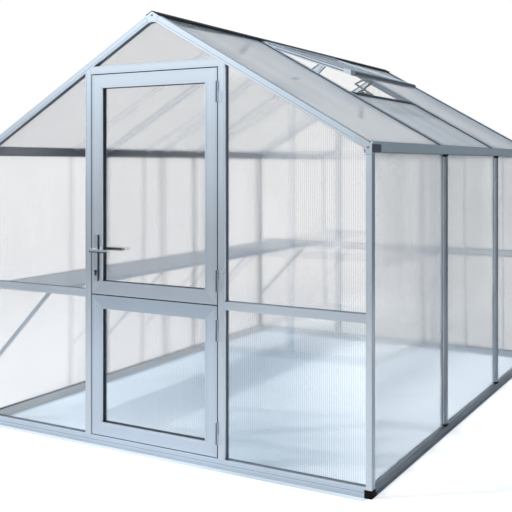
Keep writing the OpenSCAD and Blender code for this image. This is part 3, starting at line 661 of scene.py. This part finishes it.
# ---------------------------------------------------------------- other details
def leaf_box(leaf):
    stiles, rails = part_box(leaf + "_stiles"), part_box(leaf + "_rails")
    low = [min(a, b) for a, b in zip(stiles[0], rails[0])]
    high = [max(a, b) for a, b in zip(stiles[1], rails[1])]
    return Vector(low), Vector(high)


def door_gap_seals():
    """The rubber that the door shuts against, and the strips round its two leaves; these dark sheets line
    the whole gap, as painted shade beyond the rubber.
    """
    end = 0.003  # how far the seals stop short of the frame's two faces
    y = DOOR_Y - end
    depth = DOOR_Y - FRONT_Y - 2 * end
    half = min(abs(v.co.x) for v in NODES["door_posts"].data.vertices)
    shape = bmesh.new()
    liner(shape, oblong(-half, SILL_Z, half, HEADER_LOW.z, y), FRONT, flat(0.0015, depth))
    piece("door_frame_seal", shape, SEAL, "frame")
    for leaf in LEAVES:
        low, high = leaf_box(leaf)
        shape = bmesh.new()
        liner(shape, oblong(low.x, low.z, high.x, high.z, y), FRONT, flat(-0.0010, depth))
        piece(leaf + "_edge_strip", shape, SEAL, leaf)


def gable_fixings():
    """Screw heads and dark joint lines on the gussets of both gables, and dark lines of painted shade in
    the grooves along the rafters.
    """
    head = (
        (0.0062, 0), (0.0062, 0.0008), (0.0050, 0.0020), (0.0034, 0.0026),
        (0.0024, 0.0026), (0.0018, 0.0012),
    )
    dark_line = line(0.0007)
    screw_x, screw_z = HALF_W - 0.0185, EAVE_GUSSET_Z + 0.0332
    post_w = 0.037
    joint_l = 0.036  # length of the apex gusset's joint, square to the rafter
    groove_from, groove_l, groove_down = 0.004, 1.236, 0.025
    heads, lines = bmesh.new(), bmesh.new()
    for y, facing in ((FRONT_Y, FRONT), (REAR_Y, REAR)):
        for x, z in ((0, GUSSET_Z - 0.0184), (screw_x, screw_z), (-screw_x, screw_z)):
            lathe(heads, (x, y, z), facing, head)
        for side in (1, -1):
            edge = Vector((side * (GUSSET_Z - RAFTER_Z) / math.tan(PITCH), y, RAFTER_Z))
            down = -Vector((side * math.sin(PITCH), 0, math.cos(PITCH)))
            along = Vector((side * math.cos(PITCH), 0, -math.sin(PITCH)))
            strip(lines, edge, edge + down * joint_l, along, facing, dark_line)
            # painted shade: a dark line in the groove along each rafter
            start = edge + along * groove_from + down * groove_down
            strip(lines, start, start + along * groove_l, -down, facing, dark_line)
            inner, outer = side * (HALF_W - post_w), side * HALF_W
            strip(lines, (inner, y, POST_Z), (outer, y, POST_Z), UP, facing, dark_line)
    piece("gusset_screws", heads, SCREW, "frame")
    piece("gusset_joints_and_groove_shade", lines, GREY_SEAL_AND_SHADE, "frame")


def sill_groove_shade():
    """Dark lines along the faces of the sills, painted shade in their drainage grooves."""
    shape = bmesh.new()
    groove = line(0.0008)
    end = 0.003  # how far the grooves stop short of the sills' ends
    gable_z, side_heights = 0.025, (0.014, 0.031)
    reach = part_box("gable_sills")[1].x - end
    for y, facing in ((FRONT_Y, FRONT), (REAR_Y, REAR)):
        strip(shape, (-reach, y, gable_z), (reach, y, gable_z), UP, facing, groove)
    first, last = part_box("side_sills")[0].y + end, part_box("side_sills")[1].y - end
    for x, facing in ((HALF_W, RIGHT), (-HALF_W, LEFT)):
        for z in side_heights:
            strip(shape, (x, first, z), (x, last, z), UP, facing, groove)
    piece("sill_groove_shade", shape, GREY_SEAL_AND_SHADE, "frame")


def gutter_edges():
    """The bright rolled lip along the top of each gutter and a dark line along its foot."""
    low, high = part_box("gutters")
    lip = ((-0.0030, 0), (0.0006, 0), (0.0010, 0.0006), (0.0002, 0.0012), (-0.0024, 0.0012))
    foot_line = ((0, 0), (0.0026, 0), (0.0022, 0.0004), (0.0004, 0.0004))
    lip_z = high.z - 0.001
    lip_end, foot_line_end = 0.03, 0.002  # how far they stop short of the gutters' ends
    lips, foot_lines = bmesh.new(), bmesh.new()
    for x, facing in ((high.x, RIGHT), (-high.x, LEFT)):
        strip(lips, (x, low.y + lip_end, lip_z), (x, high.y - lip_end, lip_z), UP, facing, lip)
        strip(foot_lines, (x, low.y + foot_line_end, low.z), (x, high.y - foot_line_end, low.z), UP, facing, foot_line)
    piece("gutter_lips", lips, ALUMINIUM, "frame")
    piece("gutter_foot_lines", foot_lines, GREY_SEAL_AND_SHADE, "frame")


def vent_lines():
    """Dark lines along the side bars of the vent's frame, painted shade in their grooves."""
    shape = bmesh.new()
    top = Vector((VENT_LOW.x + 0.0015, 0, VENT_HIGH.z))
    tilt = math.atan(VENT_FALL)
    along, up = Vector((math.cos(tilt), 0, -math.sin(tilt))), Vector((math.sin(tilt), 0, math.cos(tilt)))
    first, last = 0.04, 0.582  # where the grooves begin and end down the vent
    nose_past = 0.001  # how far the vent's lower rail stands past its side bars
    for y, facing in ((VENT_LOW.y + nose_past, FRONT), (VENT_HIGH.y - nose_past, REAR)):
        for down, half in ((0.0045, 0.0022), (0.0195, 0.0028)):
            section = ((-half, 0), (half, 0), (half * 0.8, 0.0003), (-half * 0.8, 0.0003))
            place = top + Vector((0, y, 0)) - up * down
            strip(shape, place + along * first, place + along * last, up, facing, section)
    piece("vent_lines", shape, GREY_SEAL_AND_SHADE, "frame")


def key_cylinders():
    """The keyhole side of the lock on both faces of the leaf: a dark round with a slot, and its tail."""
    low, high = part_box("lock_plates")
    x, z = (low.x + high.x) / 2, low.z + 0.055
    tail_from, tail_to = z - 0.006, z - 0.023
    ring = ((0.0078, 0), (0.0078, 0.0016), (0.0070, 0.0022), (0.0018, 0.0022), (0.0014, 0.0008))
    tail = (
        (-0.0044, -0.0031), (0.0044, -0.0031), (0.0044, 0.0014), (0.0036, 0.0020),
        (-0.0036, 0.0020), (-0.0044, 0.0014),
    )
    shape = bmesh.new()
    for y, facing in ((low.y, FRONT), (high.y, REAR)):
        lathe(shape, (x, y, z), facing, ring, 32)
        strip(shape, (x, y, tail_from), (x, y, tail_to), RIGHT, facing, tail)
    piece("key_cylinders", shape, STEEL_KEY, "upper_leaf")


door_gap_seals()
gable_fixings()
sill_groove_shade()
gutter_edges()
vent_lines()
key_cylinders()

# ---------------------------------------------------------------- floor
FLOOR_R = 5.2
FLOOR_Z = -0.0005
UNDER_WALL = 0.02  # how far under the walls the outer floor reaches
# the floor's own light, which paints shade and light by place: painted shade under the house on its darkest
# line and painted light far to the right of it, then outside, dimmer on the left and brighter on the right
GLOW_IN = (0.0, 0.07, 0.14)
GLOW_IN_FAR = (0.37, 0.45, 0.53)
GLOW_OUT = (0.45, 0.46, 0.47)
GLOW_OUT_LEFT = (0.28, 0.28, 0.29)
GLOW_OUT_RIGHT = (0.63, 0.64, 0.66)


def straight(tree, light):
    """1 on what is seen directly or through sheets, 0 on light that has bounced off something matt."""
    seen = tree.math("MAXIMUM", light.outputs["Is Camera Ray"], light.outputs["Is Transmission Ray"])
    return tree.math("MULTIPLY", seen, tree.math("LESS_THAN", light.outputs["Diffuse Depth"], 0.5))


def floor_paper():
    """Pale matt paper, a little darker under the house as painted shade, with a glow of painted light that
    fills its shadows.
    """
    mat, tree, out, place = material("floor_paper")
    cloud = tree.noise(place, 0.8, 3)
    spot = tree.axes(place)
    past_x = tree.math("GREATER_THAN", tree.math("ABSOLUTE", spot[0]), HALF_W - UNDER_WALL)
    past_y = tree.math("GREATER_THAN", tree.math("ABSOLUTE", spot[1]), REAR_Y - UNDER_WALL)
    outside = tree.math("MAXIMUM", past_x, past_y)
    # painted shade: the paper under the house is darker
    inner = tree.mix(cloud, (0.61, 0.62, 0.63), (0.64, 0.65, 0.66))
    outer = tree.mix(cloud, (0.80, 0.81, 0.82), (0.83, 0.84, 0.85))
    body = principled(tree, Base_Color=tree.mix(outside, inner, outer), Roughness=0.8)
    body.inputs["Specular IOR Level"].default_value = 0.1
    # the darkest line of painted shade runs where slope is -0.3
    slope = tree.math("ADD", spot[0], tree.math("MULTIPLY", spot[1], 0.57))
    rise = tree.math("ADD", tree.ramp(slope, -0.3, 0.8), tree.ramp(slope, -0.3, -0.9, 0.0, 0.42))
    left = tree.math("MULTIPLY", tree.ramp(spot[0], -0.8, -1.5), tree.ramp(spot[1], -1.9, -1.3))
    # painted light and shade outside: brighter on the right, where it lightens the house's shadow, and
    # dimmer on the left
    glow = tree.mix(tree.ramp(spot[0], 0.5, 1.4), GLOW_OUT, GLOW_OUT_RIGHT)
    glow = tree.mix(left, glow, GLOW_OUT_LEFT)
    glow = tree.mix(outside, tree.mix(rise, GLOW_IN, GLOW_IN_FAR), glow)
    lift = tree.new("ShaderNodeEmission")
    tree.put(glow, lift.inputs["Color"])
    tree.put(straight(tree, tree.new("ShaderNodeLightPath")), lift.inputs["Strength"])
    add = tree.new("ShaderNodeAddShader")
    tree.link(body.outputs[0], add.inputs[0])
    tree.link(lift.outputs[0], add.inputs[1])
    tree.link(add.outputs[0], out.inputs[0])
    return mat


def floor():
    mesh = bpy.data.meshes.new("floor")
    shape = bmesh.new()
    bmesh.ops.create_circle(shape, cap_ends=True, radius=FLOOR_R, segments=96)
    bmesh.ops.translate(shape, verts=shape.verts, vec=(0, 0, FLOOR_Z))
    shape.to_mesh(mesh)
    shape.free()
    obj = bpy.data.objects.new("floor", mesh)
    SCENE.collection.objects.link(obj)
    mesh.materials.append(floor_paper())


# ---------------------------------------------------------------- light
LAMP_AT = (-10.0, -10.2, 17.0)
LAMP_TO = (0, 0, 0.8)
LAMP_SIZE, LAMP_POWER = 0.5, 3300


def studio():
    """White as seen directly, a bright ceiling over a grey horizon in the metals, and a soft fill."""
    world = bpy.data.worlds.new("studio")
    SCENE.world = world
    world.use_nodes = True
    tree = Tree(world.node_tree)
    way = tree.axes(tree.new("ShaderNodeTexCoord").outputs["Generated"])
    light = tree.new("ShaderNodeLightPath")
    glossy = light.outputs["Is Glossy Ray"]
    seen = straight(tree, light)
    side = tree.math("ADD", way[0], tree.math("MULTIPLY", way[1], 0.6))
    horizon = tree.ramp(side, -0.6, 0.7, 0.36, 0.235)
    ceiling = tree.ramp(side, -1.15, -0.85, 1.42, 1.12)
    # the ceiling starts higher towards the rear
    back = tree.ramp(way[1], -0.15, 0.5)
    end = tree.math("ADD", tree.math("MULTIPLY", back, 0.80), 0.13)
    rise = tree.ramp(way[2], tree.math("MULTIPLY", back, 0.30), end)
    above = tree.math("MULTIPLY", rise, tree.math("SUBTRACT", ceiling, horizon))
    mirror = tree.math("ADD", above, horizon)
    fill = tree.ramp(way[0], 0.1, 0.9, 0.20, 0.60)
    cool = tree.mix(tree.ramp(side, -0.3, 0.7), (0.92, 0.97, 1.01), (0.84, 0.96, 1.08))
    cool = tree.mix(glossy, (0.92, 0.97, 1.0), cool)
    sky = tree.new("ShaderNodeBackground")
    tree.put(tree.pick(seen, tree.pick(glossy, fill, mirror), 1.0), sky.inputs["Strength"])
    tree.put(tree.mix(seen, cool, (1, 1, 1)), sky.inputs["Color"])
    tree.link(sky.outputs[0], tree.new("ShaderNodeOutputWorld").inputs[0])


def lamp():
    """A small, strong lamp high up on the left in front, whose shadows have crisp edges."""
    data = bpy.data.lights.new("key", "AREA")
    data.shape = "DISK"
    data.size = LAMP_SIZE
    data.energy = LAMP_POWER
    obj = bpy.data.objects.new("key", data)
    obj.location = LAMP_AT
    obj.rotation_euler = (Vector(LAMP_TO) - Vector(LAMP_AT)).to_track_quat("-Z", "Y").to_euler()
    SCENE.collection.objects.link(obj)


# ---------------------------------------------------------------- camera
EYE = (2.681, -5.224, 1.484)
EYE_TURN = math.radians(29.68)  # how far the level camera looks to the left of straight ahead
LENS = 61.91
LENS_SHIFT = -0.1797


def camera():
    data = bpy.data.cameras.new("camera")
    data.lens = LENS
    data.sensor_width = 36
    data.shift_y = LENS_SHIFT
    data.dof.use_dof = False
    obj = bpy.data.objects.new("camera", data)
    obj.location = EYE
    obj.rotation_euler = (math.pi / 2, 0, EYE_TURN)
    SCENE.collection.objects.link(obj)
    SCENE.camera = obj


floor()
studio()
lamp()
camera()
SCENE.view_settings.view_transform = "Standard"
